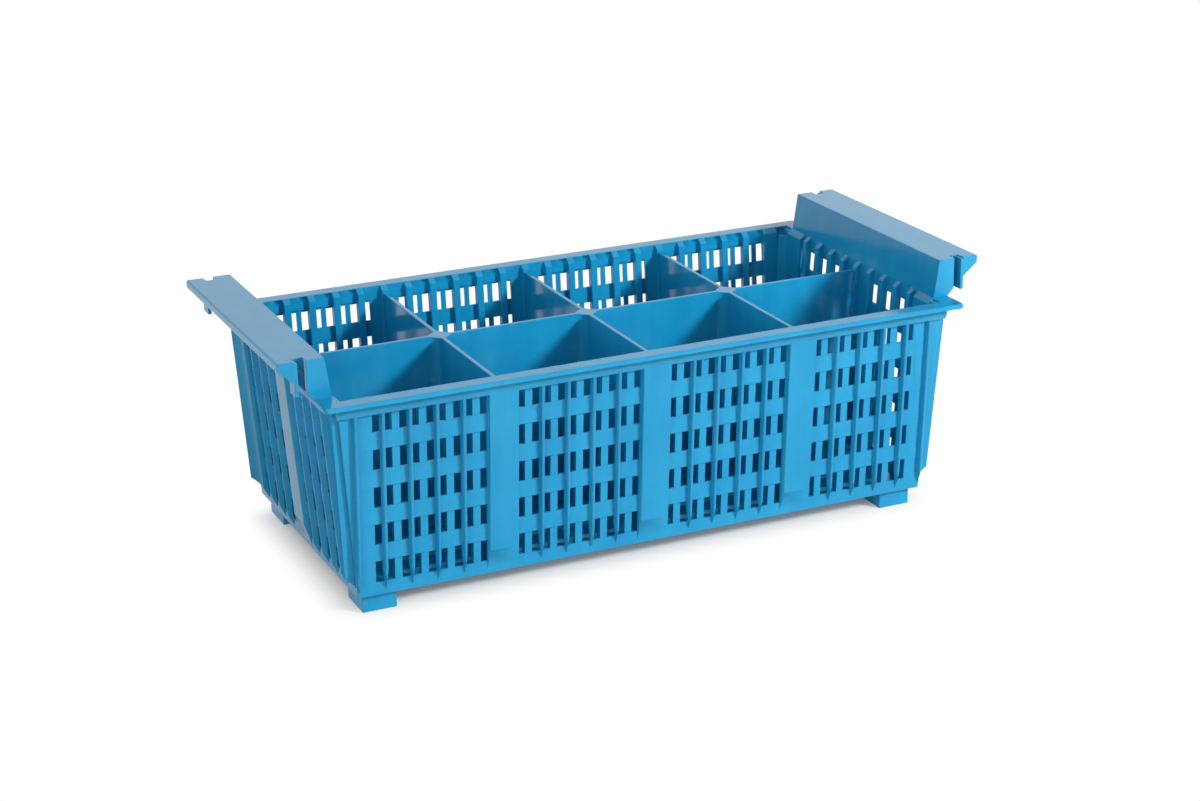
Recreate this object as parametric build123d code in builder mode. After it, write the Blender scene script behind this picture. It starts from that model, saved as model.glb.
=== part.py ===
from math import cos, radians, tan
import os

from build123d import *

os.makedirs("parts", exist_ok=True)

# Driving sizes, in millimetres, with the feet on z = 0 and the basket centred on the Z axis
pitch = 15.4  # from one outside rib to the next
bay_pitches = 6  # pitches from one cross divider to the next
rim_height = 128.5  # top of the flange
handle_height = 151.0
handle_span = 430.0  # over both handles
flange_size = (392.0, 203.5)
foot_height = 11.0
long_draft, end_draft = 3.6, 4.2  # lean of the long walls and of the end walls, in degrees

# Walls
wall = 1.0
plinth_margin = 0.8  # wall foot beyond the corner rib
floor_thickness = 3.0
rib_base, rib_ridge, rib_height = 3.3, 1.5, 2.9
bar_width, bar_depth, bar_slope = 4.3, 3.4, 3.0
divider = 2.5
divider_drop = 4.5  # divider tops below the rim
crossing = 8.0  # half diagonal of the column where dividers cross
pillar_bevel = 4.0  # flat across each inside corner

# Slot rows, counted from the top
slot_rows = 5
slot_pitch = 22.0
slot_height = 12.1
slot_drop = 8.7  # top of the first row below the rim
last_row_extra = 0.8  # the lowest row reaches this much further down
tip_height, tip_start = 14.0, 27.0  # ribs run out to a point between these heights

# Rim
flange_thickness = 2.7
flange_bevel = 0.8
flange_corner = 3.0
fascia_reach, fascia_end = 3.4, 1.4  # beyond the long walls and the end walls
fascia_height = 9.8
fascia_bevel = (2.6, 1.4)

# Corner columns
column_reach = 6.4  # beyond the wall's foot, at the height where the column starts
column_lean = 2.9  # degrees, less than the wall's
column_step = 2.0  # set back of the column behind the long wall's outside
column_foot, column_toe, column_sweep = 23.0, 14.5, 1.2  # ends and sag of its curved lower end
hollow_radius, hollow_depth = 21.0, 1.4
hollow_rise = 1.8  # of the hollow's edge by the last rib

# Handles
handle_length = 168.0
handle_wall = 1.4
handle_width = 26.0
lip_height, lip_radius = 5.0, 1.2
notch_start, notch_width, notch_depth = 10.3, 5.9, 6.0
lug_web, lug_bevel = 3.0, 4.0
lug_foot = 9.774  # from the inner plate to the lug's edge on the rim
leg_length, leg_thickness = 9.0, 2.1
leg_drop = 19.7  # of the leg's end below the handle's top
leg_overlap = 0.6  # of the leg beyond the notch
leg_flare = 7.8  # height over which the leg's outer edge slopes out to the lip

# Feet and floor
foot_size = (20.0, 24.0)
foot_inset = (13.8, 16.3)  # from the wall's foot to the foot's middle
floor_slot_width = 5.0
floor_slots = 4  # in each compartment
floor_margin = 9.0  # from a slot's end to the divider or the foot
merge = 0.5  # depth by which joined forms run into each other

# Derived sizes
bay = bay_pitches * pitch
post_base = pitch + rib_base
post_face = post_base - (rib_base - rib_ridge)
half_length = (2 * bay_pitches - 0.5) * pitch + plinth_margin
half_width = (bay_pitches - 0.5) * pitch + plinth_margin
slot = (pitch - rib_base - bar_width) / 2
floor_top = foot_height + floor_thickness
flange_middle = rim_height - flange_thickness / 2
last_rib = -(bay_pitches - 1.5) * pitch - rib_base / 2
long_bays = (
    (pitch / 2 + rib_base / 2, bay - pitch / 2 - rib_base / 2),
    (bay + pitch / 2 + rib_base / 2, 2 * bay - 1.5 * pitch + rib_base / 2 + slot),
)
end_bays = ((last_rib + rib_base, -pitch / 2 - rib_base / 2),)
long_ribs = [k for k in range(1, 2 * bay_pitches) if k % bay_pitches not in (0, bay_pitches - 1)]
long_ribs += [2 * bay_pitches - 1]
end_ribs = range(1, bay_pitches - 1)
row_tops = [rim_height - slot_drop - slot_pitch * row for row in range(slot_rows)]
rows = [(top - slot_height, top) for top in row_tops]
rows[-1] = (rows[-1][0] - last_row_extra, rows[-1][1])


def up(height, draft=long_draft):
    """Distance up a leaning wall, from its foot, of a point at this height."""
    return (height - foot_height) / cos(radians(draft))


def lean(height, draft):
    """How far a wall has leaned out at this height."""
    return (height - foot_height) * tan(radians(draft))


def wall_plane(turn, reach, draft):
    """Plane of a wall's outside: X along the wall, Y up it and Z outwards."""
    upright = Plane((0, 0, foot_height), x_dir=(1, 0, 0), z_dir=(0, -1, 0))
    leaning = Plane(upright.offset(reach).location * Location((0, 0, 0), (draft, 0, 0)))
    return Plane(Location((0, 0, 0), (0, 0, turn)) * leaning.location)


def inner_corner(height, depth):
    """Where two planes this far in from the outsides of both walls meet at this height."""
    return (
        half_length + lean(height, end_draft) - depth / cos(radians(end_draft)),
        depth / cos(radians(long_draft)) - half_width - lean(height, long_draft),
    )


long_wall = wall_plane(0, half_width, long_draft)
end_wall = wall_plane(90, half_length, end_draft)
corner_lean = Vector(tan(radians(end_draft)), -tan(radians(long_draft)), 1)

# One outside rib, in wall coordinates, running out to a point at its foot
with BuildPart() as rib:
    with BuildSketch(Plane.XZ.offset(-up(tip_height))):
        with BuildLine():
            Polyline(
                (-rib_base / 2, 0),
                (rib_base / 2, 0),
                (rib_ridge / 2, rib_height),
                (-rib_ridge / 2, rib_height),
                close=True,
            )
        make_face()
    extrude(amount=up(tip_height) - up(flange_middle))
    tip = Vector(0, up(tip_height), 0)
    for side in (-1, 1):
        along = Vector(side * rib_base / 2, up(tip_start), 0) - tip
        across = Vector(side * (rib_ridge - rib_base) / 2, 0, rib_height)
        split(bisect_by=Plane(origin=tip, z_dir=across.cross(along) * side))

# One flat post, as tall as the ribs and sloping into the wall at its foot
with BuildPart() as post:
    with BuildSketch(Plane.XZ.offset(-up(tip_height))):
        with BuildLine():
            Polyline(
                (-post_base / 2, 0),
                (post_base / 2, 0),
                (post_face / 2, rib_height),
                (-post_face / 2, rib_height),
                close=True,
            )
        make_face()
    extrude(amount=up(tip_height) - up(flange_middle))
    slide = Vector(0, up(tip_start) - up(tip_height), rib_height)
    split(bisect_by=Plane(origin=tip, z_dir=slide.cross(Vector(1, 0, 0))))

# One inside bar for each draft: the strip between two slots, standing in from the wall, with a
# top that slopes down from the rim
bar_sections = []
bars = []
for draft in (long_draft, end_draft):
    with BuildPart() as bar:
        with BuildSketch(Plane.YZ) as section:
            top = up(rim_height, draft) - wall * tan(radians(draft))
            with BuildLine():
                Polyline(
                    (up(floor_top - merge, draft), -wall),
                    (top, -wall),
                    (top - bar_slope, -wall - bar_depth),
                    (up(floor_top - merge, draft), -wall - bar_depth),
                    close=True,
                )
            make_face()
        extrude(amount=bar_width / 2, both=True)
    bar_sections.append(section.sketch)
    bars.append(bar)

# A quarter of the outer form of the walls, and of the space inside them less the dividers
with BuildPart() as block:
    with Locations((0, 0, foot_height)):
        Box(
            2 * half_length,
            2 * half_width,
            rim_height - foot_height,
            align=(Align.MIN, Align.MAX, Align.MIN),
        )
    split(bisect_by=long_wall, keep=Keep.BOTTOM)
    split(bisect_by=end_wall, keep=Keep.BOTTOM)

with BuildPart() as cavity:
    with Locations((0, 0, floor_top)):
        Box(2 * half_length, 2 * half_width, rim_height, align=(Align.MIN, Align.MAX, Align.MIN))
    split(bisect_by=long_wall.offset(-wall), keep=Keep.BOTTOM)
    split(bisect_by=end_wall.offset(-wall), keep=Keep.BOTTOM)
    with BuildSketch(Plane.XY.offset(floor_top)):
        Rectangle(3 * half_length, divider)
        with Locations((0, 0), (bay, 0)):
            Rectangle(divider, 3 * half_width)
            Rectangle(2**0.5 * crossing, 2**0.5 * crossing, rotation=45)
    extrude(amount=rim_height - divider_drop - floor_top, mode=Mode.SUBTRACT)

# One corner column, leaning less than the walls, hollowed towards the end wall's last rib
with BuildPart() as column:
    base = tip_height - 1
    front = column_step - half_width - lean(base, long_draft)
    edge = half_length + column_reach
    hollow_start = Vector(half_length + hollow_rise, last_rib)
    hollow_end = Vector(edge, front)
    with BuildSketch(Plane.XY.offset(base)):
        with BuildLine():
            Polyline(
                hollow_start,
                hollow_end,
                (half_length - merge, front),
                (half_length - merge, last_rib),
                close=True,
            )
        make_face()
    leaning = Vector(tan(radians(column_lean)), -tan(radians(long_draft)), 1)
    extrude(amount=(flange_middle - base) * leaning.length, dir=leaning.normalized())
    chord = hollow_end - hollow_start
    outward = Vector(-chord.Y, chord.X).normalized()
    axis = (hollow_start + hollow_end) / 2 + outward * (hollow_radius - hollow_depth)
    with Locations(Plane(origin=(axis.X, axis.Y, base), z_dir=leaning).location):
        Cylinder(hollow_radius, 3 * rim_height, mode=Mode.SUBTRACT)
    # its lower end sweeps in to the plinth
    toe = (half_length - merge, column_toe)
    heel = (edge + merge, column_foot)
    with BuildSketch(Plane.XZ.offset(half_width + pitch)):
        with BuildLine():
            SagittaArc(toe, heel, column_sweep)
            Polyline(heel, (edge + pitch, column_foot), (edge + pitch, 0), (toe[0], 0), toe)
        make_face()
    extrude(amount=-half_width, mode=Mode.SUBTRACT)

# The thick inside corner between the last slots of two walls
with BuildPart() as pillar:
    base = floor_top - merge
    face = inner_corner(base, wall + bar_depth)
    back = inner_corner(base, wall / 2)
    with BuildSketch(Plane.XY.offset(base)):
        with BuildLine():
            Polyline(
                back,
                (back[0], face[1] + pillar_bevel),
                (face[0], face[1] + pillar_bevel),
                (face[0] - pillar_bevel, face[1]),
                (face[0] - pillar_bevel, back[1]),
                close=True,
            )
        make_face()
    rise = rim_height - divider_drop - base
    extrude(amount=rise * corner_lean.length, dir=corner_lean.normalized())
    for plane, section, start, stop in (
        (long_wall, bar_sections[0], long_bays[-1][1], half_length - wall),
        (end_wall, bar_sections[1], wall - half_width, end_bays[0][0]),
    ):
        strip = extrude(section, amount=stop - start, dir=(1, 0, 0), mode=Mode.PRIVATE)
        add(plane.location * Location((start, 0, 0)) * strip)

# One handle, at the +X end, its inner plate rising from the inside of the end wall
with BuildPart() as handle:
    outer = handle_span / 2
    inner = outer - handle_width
    under = handle_height - handle_wall
    plate = inner_corner(rim_height, wall)[0]
    with BuildSketch(Plane.XZ):
        with BuildLine():
            Polyline(
                (plate, rim_height),
                (inner, handle_height),
                (outer, handle_height),
                (outer, handle_height - lip_height),
                (outer - handle_wall, handle_height - lip_height),
                (outer - handle_wall, under),
                (inner + handle_wall, under),
                (plate + handle_wall, rim_height),
                (plate + handle_wall, flange_middle),
                (plate + handle_wall / 2, flange_middle),
                close=True,
            )
        make_face()
        fillet(vertices().group_by(Axis.X)[-1], radius=lip_radius)
    extrude(amount=handle_length / 2, both=True)
    notch_x = inner + notch_start
    leg_x = notch_x + notch_width - leg_thickness + leg_overlap
    leg_bottom = handle_height - leg_drop
    lug_edge = plate + lug_foot
    with Locations(*[(notch_x, end * handle_length / 2, under - merge) for end in (-1, 1)]):
        Box(
            notch_width,
            2 * notch_depth,
            handle_wall + 2 * merge,
            align=(Align.MIN, Align.CENTER, Align.MIN),
            mode=Mode.SUBTRACT,
        )
    for end in (-1, 1):
        face = end * handle_length / 2
        with BuildSketch(Plane.XZ.offset(-face)):
            with BuildLine():
                Polyline(
                    (plate + handle_wall / 2, flange_middle),
                    (plate + handle_wall / 2, rim_height),
                    (inner + handle_wall / 2, under + merge),
                    (notch_x, under + merge),
                    (notch_x, under),
                    (lug_edge + lug_bevel, rim_height + lug_bevel),
                    (lug_edge, rim_height),
                    (lug_edge, flange_middle),
                    close=True,
                )
            make_face()
            with BuildLine():
                Polyline(
                    (leg_x, leg_bottom),
                    (leg_x, under + merge),
                    (outer - handle_wall / 2, under + merge),
                    (outer - handle_wall / 2, handle_height - lip_height),
                    (leg_x + leg_thickness, leg_bottom + leg_flare),
                    (leg_x + leg_thickness, leg_bottom),
                    close=True,
                )
            make_face()
        extrude(amount=end * lug_web)
        with Locations((leg_x, face - end * leg_length / 2, leg_bottom)):
            Box(
                leg_thickness,
                leg_length,
                under - leg_bottom + merge,
                align=(Align.MIN, Align.CENTER, Align.MIN),
            )

# The quarter of the moulding at +X and -Y
with BuildPart() as quarter:
    # the fascia under the rim, and the flange
    with BuildPart() as fascia:
        middle = rim_height - fascia_height / 2
        fascia_length = half_length + lean(middle, end_draft) + fascia_end
        fascia_width = half_width + lean(middle, long_draft) + fascia_reach
        with BuildSketch(Plane.XY.offset(rim_height - fascia_height)):
            Rectangle(2 * fascia_length, 2 * fascia_width)
        extrude(amount=flange_middle - rim_height + fascia_height)
        chamfer(faces().sort_by(Axis.Z)[0].edges().filter_by(Axis.X), *fascia_bevel)
    with BuildPart() as flange:
        with BuildSketch(Plane.XY.offset(rim_height - flange_thickness)):
            RectangleRounded(*flange_size, flange_corner)
        extrude(amount=flange_thickness)
        chamfer(faces().sort_by(Axis.Z)[-1].edges(), flange_bevel)
    split(bisect_by=Plane.YZ)
    split(bisect_by=Plane.XZ)
    add(block.part)
    add(cavity.part, mode=Mode.SUBTRACT)
    add([column.part, handle.part])

    # one window for each row of each bay
    for plane, draft, bays in ((long_wall, long_draft, long_bays), (end_wall, end_draft, end_bays)):
        with BuildSketch(plane):
            for left, right in bays:
                for low, high in rows:
                    with Locations(((left + right) / 2, up((low + high) / 2, draft))):
                        Rectangle(right - left, up(high, draft) - up(low, draft))
        extrude(amount=-2 * wall, mode=Mode.SUBTRACT)

    # ribs and posts outside, bars between the slots, and a thick inside corner
    spots = [(long_wall, bars[0], pitch * k) for k in range(2 * bay_pitches - 1)]
    spots += [(end_wall, bars[1], -pitch * k) for k in range(bay_pitches - 1)]
    spots += [(long_wall, rib, pitch * (k + 0.5)) for k in long_ribs]
    spots += [(end_wall, rib, -pitch * (k + 0.5)) for k in end_ribs]
    spots += [(long_wall, post, 0), (long_wall, post, bay), (end_wall, post, 0)]
    add([plane.location * Location((along, 0, 0)) * piece.part for plane, piece, along in spots])
    add(pillar.part)

    # foot and floor slots
    foot_x = half_length - foot_inset[0]
    with Locations((foot_x, foot_inset[1] - half_width, 0)):
        Box(*foot_size, foot_height + merge, align=(Align.CENTER, Align.CENTER, Align.MIN))
    with BuildSketch(Plane.XY.offset(foot_height)):
        for start, stop in ((0, bay), (bay, foot_x - foot_size[0] / 2)):
            with Locations(((start + stop) / 2, -half_width / 2)):
                with GridLocations(0, half_width / (floor_slots + 1), 1, floor_slots):
                    Rectangle(stop - start - 2 * floor_margin, floor_slot_width)
    extrude(amount=floor_thickness, mode=Mode.SUBTRACT)

# The whole moulding
with BuildPart() as basket:
    add(quarter.part)
    split(bisect_by=Plane.YZ)
    split(bisect_by=Plane.XZ)
    mirror(about=Plane.XZ)
    mirror(about=Plane.YZ)

basket.part.label = "basket"
export_step(basket.part, "parts/basket.step")
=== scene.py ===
"""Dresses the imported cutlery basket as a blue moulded-plastic part in a plain white studio."""

import logging
import math
from dataclasses import dataclass, field
from enum import Enum
from typing import Any, Optional

import bmesh
import bpy
from mathutils import Matrix, Vector


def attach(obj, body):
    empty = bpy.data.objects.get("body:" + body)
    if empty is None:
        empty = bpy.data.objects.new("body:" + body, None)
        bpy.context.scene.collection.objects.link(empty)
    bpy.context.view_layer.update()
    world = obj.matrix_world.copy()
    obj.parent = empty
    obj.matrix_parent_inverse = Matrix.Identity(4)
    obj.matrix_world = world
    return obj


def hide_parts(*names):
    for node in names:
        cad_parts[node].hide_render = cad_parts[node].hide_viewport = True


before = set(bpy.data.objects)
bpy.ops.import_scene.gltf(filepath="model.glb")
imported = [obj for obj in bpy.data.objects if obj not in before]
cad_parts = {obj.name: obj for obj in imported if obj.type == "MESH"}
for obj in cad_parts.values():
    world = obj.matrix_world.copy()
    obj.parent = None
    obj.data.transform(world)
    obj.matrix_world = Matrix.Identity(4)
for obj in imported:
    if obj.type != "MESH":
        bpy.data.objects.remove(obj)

log = logging.getLogger("cutlery_basket")
WHITE = (1.0, 1.0, 1.0, 1.0)
NOISE_MIDDLE = 0.5


class MathStep(Enum):
    """The arithmetic that a socket expression may use."""

    ADD = "ADD"
    SUBTRACT = "SUBTRACT"
    MULTIPLY = "MULTIPLY"
    MAXIMUM = "MAXIMUM"


class Socket:
    """One output socket of a node tree, with arithmetic that adds Math nodes."""

    def __init__(self, bench: "NodeBench", output: bpy.types.NodeSocket) -> None:
        """Keeps the socket and the bench that owns it.

        Args:
            bench: the node tree being built.
            output: the socket whose value is used.
        """
        self.bench = bench
        self.output = output

    def _math(self, step: MathStep, left: Any, right: Any) -> "Socket":
        """Adds one Math node.

        Args:
            step: the operation.
            left: a socket or a number.
            right: a socket or a number.

        Returns:
            The node's result.
        """
        return self.bench.add("ShaderNodeMath", {0: left, 1: right}, operation=step.value)

    def __add__(self, other: Any) -> "Socket":
        """This value plus another."""
        return self._math(MathStep.ADD, self, other)

    __radd__ = __add__

    def __sub__(self, other: Any) -> "Socket":
        """This value less another."""
        return self._math(MathStep.SUBTRACT, self, other)

    def __rsub__(self, other: Any) -> "Socket":
        """Another value less this one."""
        return self._math(MathStep.SUBTRACT, other, self)

    def __mul__(self, other: Any) -> "Socket":
        """This value times another."""
        return self._math(MathStep.MULTIPLY, self, other)

    __rmul__ = __mul__

    def __or__(self, other: Any) -> "Socket":
        """The larger of this value and another."""
        return self._math(MathStep.MAXIMUM, self, other)

    __ror__ = __or__


class NodeBench:
    """The node tree of a material or a world, emptied and ready to be filled."""

    def __init__(self, owner: Any) -> None:
        """Gives the owner an empty node tree.

        Args:
            owner: the material or the world.
        """
        owner.use_nodes = True
        self.tree = owner.node_tree
        self.tree.nodes.clear()

    def add(
        self, kind: str, inputs: dict[Any, Any], out: Any = 0, stops: Any = (), **settings: Any
    ) -> Optional[Socket]:
        """Adds any node.

        Args:
            kind: the node's type name.
            inputs: socket names or numbers, each with a value or a Socket to link.
            out: which output to hand back.
            stops: a colour ramp's positions, each with its colour.
            settings: properties of the node.

        Returns:
            The chosen output, or nothing where the node has none.
        """
        node = self.tree.nodes.new(kind)
        for key, value in settings.items():
            setattr(node, key, value)
        for element, (position, colour) in zip(node.color_ramp.elements if stops else (), stops):
            element.position = position
            element.color = (*colour, 1.0)
        for key, value in inputs.items():
            if isinstance(value, Socket):
                self.tree.links.new(value.output, node.inputs[key])
            else:
                node.inputs[key].default_value = value
        return Socket(self, node.outputs[out]) if len(node.outputs) else None

    def seen(self, mirrored: float) -> Socket:
        """Says how much of the plain white background a ray shows.

        Args:
            mirrored: the share that is shown in reflections.

        Returns:
            1 for the camera and through clear matter, the share in reflections, and 0 for other rays.
        """
        camera = self.add("ShaderNodeLightPath", {}, "Is Camera Ray")
        glossy = self.add("ShaderNodeLightPath", {}, "Is Glossy Ray")
        clear = self.add("ShaderNodeLightPath", {}, "Is Transmission Ray")
        return camera | clear | glossy * mirrored


@dataclass(frozen=True)
class MouldedPlastic:
    """Satin blue polypropylene, a little cloudy and streaked, with a fine moulded grain."""

    name: str = "blue_polypropylene"
    deep: tuple[float, float, float] = (0.007, 0.252, 0.490)
    pale: tuple[float, float, float] = (0.013, 0.296, 0.540)
    tint_range: tuple[float, float] = (0.35, 0.65)
    roughness: float = 0.20
    roughness_swing: float = 0.06
    shine: float = 1.25
    skin: float = 1.0
    skin_roughness: float = 0.10
    cloud_size: float = 28.0
    streak_size: tuple[float, float, float] = (90.0, 90.0, 7.0)
    streak_share: float = 0.45
    grain_size: float = 1500.0
    grain_strength: float = 0.25
    grain_depth: float = 0.00003

    def material(self) -> bpy.types.Material:
        """Builds the node material.

        Returns:
            The finished material.
        """
        material = bpy.data.materials.new(self.name)
        bench = NodeBench(material)
        place = bench.add("ShaderNodeTexCoord", {}, "Object")
        cloud = bench.add("ShaderNodeTexNoise", {"Vector": place, "Scale": self.cloud_size}, "Fac")
        grain = bench.add("ShaderNodeTexNoise", {"Vector": place, "Scale": self.grain_size}, "Fac")
        drawn = bench.add("ShaderNodeVectorMath", {0: place, 1: self.streak_size}, operation="MULTIPLY")
        streak = bench.add("ShaderNodeTexNoise", {"Vector": drawn, "Scale": 1.0}, "Fac")
        tint = cloud * (1.0 - self.streak_share) + streak * self.streak_share
        stops = tuple(zip(self.tint_range, (self.deep, self.pale)))
        colour = bench.add("ShaderNodeValToRGB", {"Fac": tint}, stops=stops)
        bump = bench.add(
            "ShaderNodeBump",
            {"Height": grain, "Strength": self.grain_strength, "Distance": self.grain_depth},
        )
        shader = bench.add(
            "ShaderNodeBsdfPrincipled",
            {
                "Base Color": colour,
                "Roughness": self.roughness + (cloud - NOISE_MIDDLE) * self.roughness_swing,
                "Coat Weight": self.skin,
                "Coat Roughness": self.skin_roughness,
                "Coat IOR": self.shine,
                "Normal": bump,
                "IOR": self.shine,
            },
        )
        bench.add("ShaderNodeOutputMaterial", {"Surface": shader})
        return material


@dataclass(frozen=True)
class WhitePaper:
    """Matt white floor paper that photographs as plain white away from the basket; near the feet its white
    glow fades out so the lit paper shows, with real shadow and a painted shade in a zone shaped by the
    footprint.
    """

    name: str = "white_paper"
    colour: tuple[float, float, float] = (0.88, 0.85, 0.80)
    roughness: float = 0.9
    glow: float = 0.12
    mirrored: float = 0.3
    # Painted shade: footprint and reach set the zone around the basket where the white glow fades and the
    # darker lit paper shows.
    footprint: tuple[float, float, float] = (0.164, 0.066, 0.0)
    painted_shade_reach: float = 0.032

    def material(self) -> bpy.types.Material:
        """Builds the paper's material, which turns plain white away from the basket and fades to lit paper
        near its footprint, partly real shadow and partly painted shade.

        Returns:
            The finished material.
        """
        material = bpy.data.materials.new(self.name)
        bench = NodeBench(material)
        place = bench.add("ShaderNodeTexCoord", {}, "Object")
        folded = bench.add("ShaderNodeVectorMath", {0: place}, operation="ABSOLUTE")
        beyond = bench.add("ShaderNodeVectorMath", {0: folded, 1: self.footprint}, operation="SUBTRACT")
        outside = bench.add("ShaderNodeVectorMath", {0: beyond, 1: (0.0, 0.0, 0.0)}, operation="MAXIMUM")
        away = bench.add("ShaderNodeVectorMath", {0: outside}, "Value", operation="LENGTH")
        # Painted shade: the glow fades out towards the footprint, so the floor there turns darker whether or
        # not the basket blocks light; the real shadow shows only inside this zone.
        painted_shade_fade = bench.add(
            "ShaderNodeMapRange",
            {"Value": away, "From Min": 0.0, "From Max": self.painted_shade_reach},
            interpolation_type="SMOOTHSTEP",
        )
        paper = bench.add(
            "ShaderNodeBsdfPrincipled", {"Base Color": (*self.colour, 1.0), "Roughness": self.roughness}
        )
        white = bench.add("ShaderNodeEmission", {"Color": WHITE, "Strength": 1.0})
        whiteness = bench.seen(self.mirrored) * (self.glow + painted_shade_fade * (1.0 - self.glow))
        mixed = bench.add("ShaderNodeMixShader", {"Fac": whiteness, 1: paper, 2: white})
        bench.add("ShaderNodeOutputMaterial", {"Surface": mixed})
        return material


def laid_out(name: str, work: bmesh.types.BMesh, finish: bpy.types.Material) -> bpy.types.Object:
    """Turns a worked mesh into an object of the scene.

    Args:
        name: the object's name.
        work: the mesh, freed afterwards.
        finish: its material.

    Returns:
        The object, at the origin.
    """
    mesh = bpy.data.meshes.new(name)
    work.to_mesh(mesh)
    work.free()
    mesh.materials.append(finish)
    made = bpy.data.objects.new(name, mesh)
    bpy.context.scene.collection.objects.link(made)
    return made


@dataclass
class BasketPiece:
    """What the pieces of the basket share: the plastic, its material slot and the body that carries them."""

    plastic: bpy.types.Material
    slot: str
    body: str = "root"

    def finished(self, name: str, work: bmesh.types.BMesh) -> bpy.types.Object:
        """Turns a worked mesh into a piece that rides on the basket's body.

        Args:
            name: the piece's name.
            work: the mesh, freed afterwards.

        Returns:
            The piece.
        """
        piece = laid_out(name, work, self.plastic)
        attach(piece, self.body)
        return piece


@dataclass
class Basket(BasketPiece):
    """The one-piece moulding, shown as a merged copy of its solid with its main edges softened."""

    node: str = "basket"
    edge_radius: float = 0.00040
    edge_segments: int = 2
    edge_angle: float = math.radians(25)
    curve_angles: tuple[float, float] = (math.radians(6), math.radians(35))
    flat_angle: float = math.radians(0.2)
    merge_distance: float = 0.000002
    rim_zone: float = 0.1182
    foot_zone: float = 0.0115
    long_edge: float = 0.040
    upright_share: float = 0.9
    area_weight: int = 100

    def flat_regions(self, work: bmesh.types.BMesh) -> list[list[bmesh.types.BMFace]]:
        """Finds the flat areas of the mesh.

        Args:
            work: the triangulated solid.

        Returns:
            One list of triangles for each flat area.
        """
        regions: list[list[bmesh.types.BMFace]] = []
        seen: set[int] = set()
        for first in work.faces:
            if first.index in seen:
                continue
            seen.add(first.index)
            region = [first]
            for face in region:
                for edge in face.edges:
                    for other in edge.link_faces:
                        if other.index not in seen and edge.calc_face_angle(math.pi) < self.flat_angle:
                            seen.add(other.index)
                            region.append(other)
            regions.append(region)
        return regions

    def softened(self, edge: bmesh.types.BMEdge) -> bool:
        """Says whether an edge is one of the rounded ones: rim, handles, feet and long upright ridges.

        Args:
            edge: an edge of the merged mesh.

        Returns:
            True for an edge that gets a small radius.
        """
        if not edge.is_manifold or edge.calc_face_angle_signed() < self.edge_angle:
            return False
        low, high = sorted(vert.co.z for vert in edge.verts)
        length = edge.calc_length()
        upright = high - low > self.upright_share * length and length > self.long_edge
        return low > self.rim_zone or high < self.foot_zone or upright

    def merged(self) -> bmesh.types.BMesh:
        """Copies the solid's triangles, joins them into whole flat faces and marks the soft edges.

        Returns:
            The merged mesh.
        """
        work = bmesh.new()
        work.from_mesh(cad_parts[self.node].data)
        bmesh.ops.remove_doubles(work, verts=work.verts, dist=self.merge_distance)
        work.faces.index_update()
        work.edges.index_update()
        inside: list[bmesh.types.BMEdge] = []
        for region in self.flat_regions(work):
            corners = {vert for face in region for vert in face.verts}
            sides = {edge for face in region for edge in face.edges}
            # Only an area without a hole can become one face
            if len(corners) - len(sides) + len(region) == 1:
                members = set(region)
                inside += [edge for edge in sides if members.issuperset(edge.link_faces)]
        # A fixed order gives the same mesh on every run
        inside.sort(key=lambda edge: edge.index)
        bmesh.ops.dissolve_edges(work, edges=inside, use_verts=False, use_face_split=False)
        weight = work.edges.layers.float.new("bevel_weight_edge")
        for edge in work.edges:
            edge[weight] = float(self.softened(edge))
            bend = edge.calc_face_angle(math.pi)
            edge.smooth = bool(edge[weight]) or self.curve_angles[0] < bend < self.curve_angles[1]
        for face in work.faces:
            face.smooth = True
        return work

    def build(self) -> bpy.types.Object:
        """Makes the dressed moulding and lets it stand for the solid.

        Returns:
            The piece.
        """
        piece = self.finished("moulding", self.merged())
        bevel = piece.modifiers.new("soft_edges", "BEVEL")
        bevel.width = self.edge_radius
        bevel.segments = self.edge_segments
        bevel.limit_method = "WEIGHT"
        bevel.use_clamp_overlap = False
        bevel.loop_slide = False
        even = piece.modifiers.new("flat_shading", "WEIGHTED_NORMAL")
        even.weight = self.area_weight
        even.keep_sharp = True
        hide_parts(self.node)
        return piece


@dataclass(frozen=True)
class SlottedWall:
    """Two opposite slotted walls: where they stand, how far they lean, and which bars cross their slots."""

    reach: float
    draft: float
    turns: tuple[float, float]
    bars: tuple[int, ...]
    run: float
    foot_height: float = 0.011

    def plane(self, turn: float) -> Matrix:
        """Finds the outside of one of the two walls.

        Args:
            turn: which wall, as a turn about the upright axis.

        Returns:
            A matrix with X along the wall, Y inwards and Z up the wall from its foot.
        """
        stand = Matrix.Translation((0.0, -self.reach, self.foot_height))
        return Matrix.Rotation(turn, 4, "Z") @ stand @ Matrix.Rotation(self.draft, 4, "X")

    def up(self, height: float) -> float:
        """Measures up the wall.

        Args:
            height: a height above the ground.

        Returns:
            The distance up the leaning wall to that height.
        """
        return (height - self.foot_height) / math.cos(self.draft)


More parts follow.
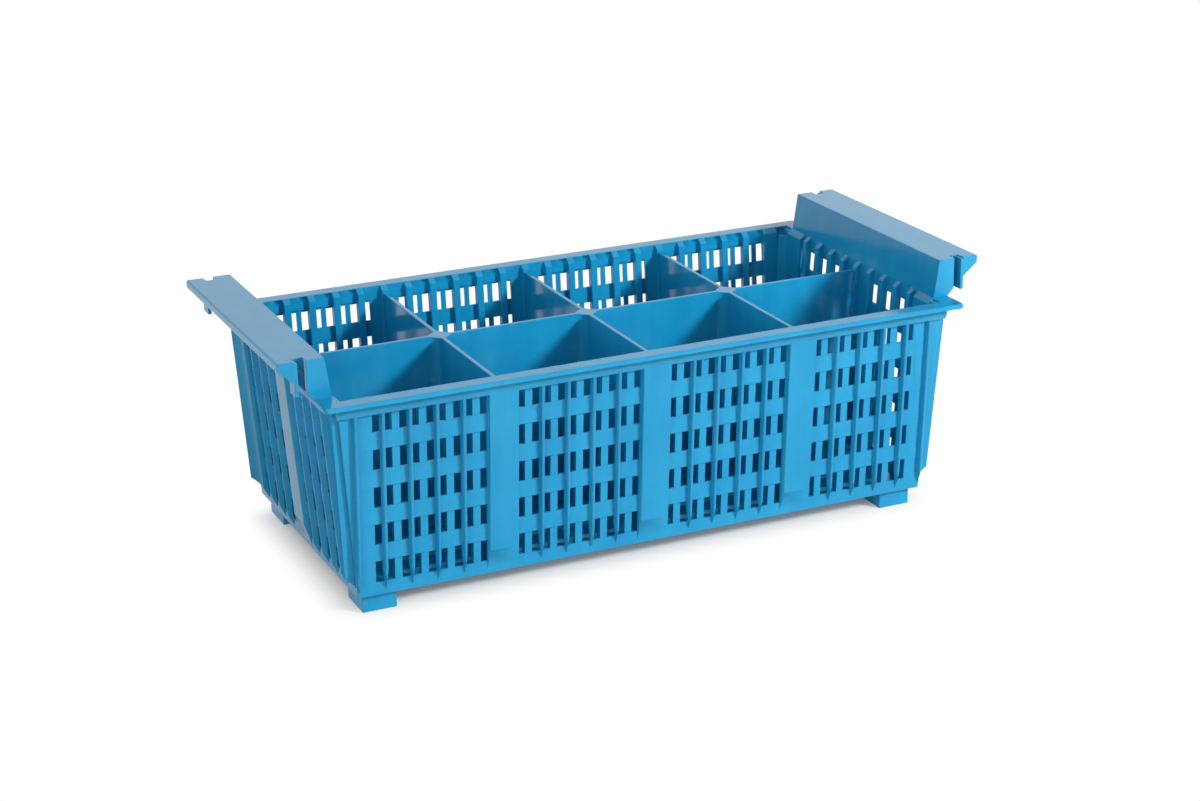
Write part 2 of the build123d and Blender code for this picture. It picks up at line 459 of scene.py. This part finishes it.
@dataclass(frozen=True)
class SlotRows:
    """The four slotted walls and their rows of slots, counted from the top."""

    count: int = 5
    first_top: float = 0.1198
    pitch: float = 0.022
    height: float = 0.0121
    last_extra: float = 0.0008
    walls: tuple[SlottedWall, ...] = (
        SlottedWall(
            reach=0.0855,
            draft=math.radians(3.6),
            turns=(0.0, math.pi),
            bars=(1, 2, 3, 4, 5, 7, 8, 9, 10),
            run=0.1764,
        ),
        SlottedWall(
            reach=0.1779,
            draft=math.radians(4.2),
            turns=(math.pi / 2, -math.pi / 2),
            bars=(1, 2, 3, 4),
            run=0.0693,
        ),
    )

    def top(self, row: int) -> float:
        """Finds a row's upper edge.

        Args:
            row: the row's number from the top.

        Returns:
            Its height above the ground.
        """
        return self.first_top - row * self.pitch

    def bottom(self, row: int) -> float:
        """Finds a row's lower edge, which is a little lower in the last row.

        Args:
            row: the row's number from the top.

        Returns:
            Its height above the ground.
        """
        extra = self.last_extra if row == self.count - 1 else 0.0
        return self.top(row) - self.height - extra

    def sides(self) -> list[tuple[SlottedWall, float]]:
        """Lists the four walls, each with its turn about the upright axis."""
        return [(wall, turn) for wall in self.walls for turn in wall.turns]


@dataclass
class BarFacings(BasketPiece):
    """Thin facings that bring the bars between the slots almost level with the outside of the walls."""

    rows: SlotRows = field(default_factory=SlotRows)
    pitch: float = 0.0154
    wall: float = 0.001
    overlap: float = 0.0002
    recess: float = 0.00015
    bar_width: float = 0.0043
    top_gap: float = 0.00035

    def place(self, wall: SlottedWall, turn: float, bar: int, row: int) -> Matrix:
        """Works out where one facing goes.

        Args:
            wall: the wall it belongs to.
            turn: which of the two opposite walls, as a turn about the upright axis.
            bar: the bar's number from the middle of the wall, negative on one side.
            row: the slot row's number from the top.

        Returns:
            The matrix that makes the facing out of a unit cube.
        """
        low = wall.up(self.rows.bottom(row))
        high = wall.up(self.rows.top(row) - self.top_gap)
        depth = self.wall + self.overlap - self.recess
        offset = Matrix.Translation((bar * self.pitch, self.recess + depth / 2, (low + high) / 2))
        return wall.plane(turn) @ offset @ Matrix.Diagonal((self.bar_width, depth, high - low, 1.0))

    def build(self) -> bpy.types.Object:
        """Makes all the facings as one piece.

        Returns:
            The piece.
        """
        work = bmesh.new()
        for wall, turn in self.rows.sides():
            for bar in (side * number for number in wall.bars for side in (-1, 1)):
                for row in range(self.rows.count):
                    bmesh.ops.create_cube(work, size=1.0, matrix=self.place(wall, turn, bar, row))
        return self.finished("bar_facings", work)


@dataclass
class RowBands(BasketPiece):
    """The bands between the slot rows, each with a slight ledge over the row below it."""

    rows: SlotRows = field(default_factory=SlotRows)
    ledge: float = 0.0003
    sink: float = 0.00002
    depth: float = 0.0004

    def build(self) -> bpy.types.Object:
        """Makes all the bands as one piece, flush at the top and standing out at the bottom.

        Returns:
            The piece.
        """
        work = bmesh.new()
        for wall, turn in self.rows.sides():
            for row in range(1, self.rows.count):
                low, high = wall.up(self.rows.top(row)), wall.up(self.rows.bottom(row - 1))
                band = bmesh.ops.create_cube(work, size=2.0)["verts"]
                for vert in band:
                    upper = vert.co.z > 0.0
                    outside = self.sink if upper else -self.ledge
                    across = self.depth if vert.co.y > 0.0 else outside
                    vert.co = (wall.run * vert.co.x, across, high if upper else low)
                bmesh.ops.transform(work, matrix=wall.plane(turn), verts=band)
        return self.finished("row_bands", work)


@dataclass(frozen=True)
class Lamp:
    """One square soft box, hidden from reflections so that it leaves no glare."""

    name: str
    place: tuple[float, float, float]
    side: float
    power: float
    aim: tuple[float, float, float] = (0.0, 0.0, 0.08)

    def build(self) -> bpy.types.Object:
        """Hangs the lamp.

        Returns:
            The light object.
        """
        data = bpy.data.lights.new(self.name, "AREA")
        data.size = self.side
        data.energy = self.power
        lamp = bpy.data.objects.new(self.name, data)
        lamp.location = self.place
        turn = (Vector(self.aim) - Vector(self.place)).to_track_quat("-Z", "Y")
        lamp.rotation_euler = turn.to_euler()
        lamp.visible_glossy = False
        bpy.context.scene.collection.objects.link(lamp)
        return lamp


@dataclass
class Studio:
    """White paper floor, soft boxes, pale surroundings and the camera."""

    floor_size: float = 14.0
    surround: float = 0.32
    mirrored: float = 0.8
    eye: tuple[float, float, float] = (-0.5585, -1.22504, 0.55827)
    forward: tuple[float, float, float] = (0.39445, 0.85291, -0.34198)
    right: tuple[float, float, float] = (0.90541, -0.42430, -0.01390)
    lens: float = 72.35
    sensor: float = 36.0
    paper: WhitePaper = field(default_factory=WhitePaper)
    lamps: tuple[Lamp, ...] = (
        Lamp("key_box", place=(0.98, -1.28, 0.94), side=0.3, power=31.5),
        Lamp("fill_box", place=(-1.8, -1.4, 1.0), side=1.4, power=16.0),
        Lamp("back_box", place=(-0.9, 2.0, 0.5), side=1.4, power=14.0),
    )

    def floor(self) -> bpy.types.Object:
        """Lays the paper under the feet.

        Returns:
            The floor object.
        """
        work = bmesh.new()
        bmesh.ops.create_grid(work, x_segments=1, y_segments=1, size=self.floor_size / 2)
        floor = laid_out("floor", work, self.paper.material())
        return floor

    def surroundings(self) -> None:
        """Fills the world with even white, full for the camera and a little less in reflections."""
        world = bpy.data.worlds.new("white_room")
        bench = NodeBench(world)
        level = self.surround + bench.seen(self.mirrored) * (1.0 - self.surround)
        light = bench.add("ShaderNodeBackground", {"Color": WHITE, "Strength": level})
        bench.add("ShaderNodeOutputWorld", {"Surface": light})
        bpy.context.scene.world = world

    def camera(self) -> bpy.types.Object:
        """Sets the camera at the viewing angle of the reference.

        Returns:
            The camera object.
        """
        data = bpy.data.cameras.new("camera")
        data.sensor_fit = "HORIZONTAL"
        data.sensor_width = self.sensor
        data.lens = self.lens
        camera = bpy.data.objects.new("camera", data)
        ahead = Vector(self.forward).normalized()
        side = Vector(self.right).normalized()
        above = side.cross(ahead).normalized()
        turn = Matrix((side, above, -ahead)).transposed().to_4x4()
        camera.matrix_world = Matrix.Translation(self.eye) @ turn
        bpy.context.scene.collection.objects.link(camera)
        bpy.context.scene.camera = camera
        return camera

    def build(self) -> None:
        """Sets up the whole studio."""
        self.surroundings()
        log.info("floor %s", self.floor().name)
        for lamp in self.lamps:
            log.info("lamp %s", lamp.build().name)
        log.info("camera %s", self.camera().name)
        bpy.context.scene.view_settings.view_transform = "Standard"


def main() -> None:
    """Builds the studio and the basket's pieces, and logs their names."""
    logging.basicConfig(level=logging.INFO)
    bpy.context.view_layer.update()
    Studio().build()
    finish = MouldedPlastic()
    plastic = finish.material()
    for kind in (Basket, BarFacings, RowBands):
        log.info("piece %s", kind(plastic, finish.name).build().name)


if __name__ == "__main__":
    main()
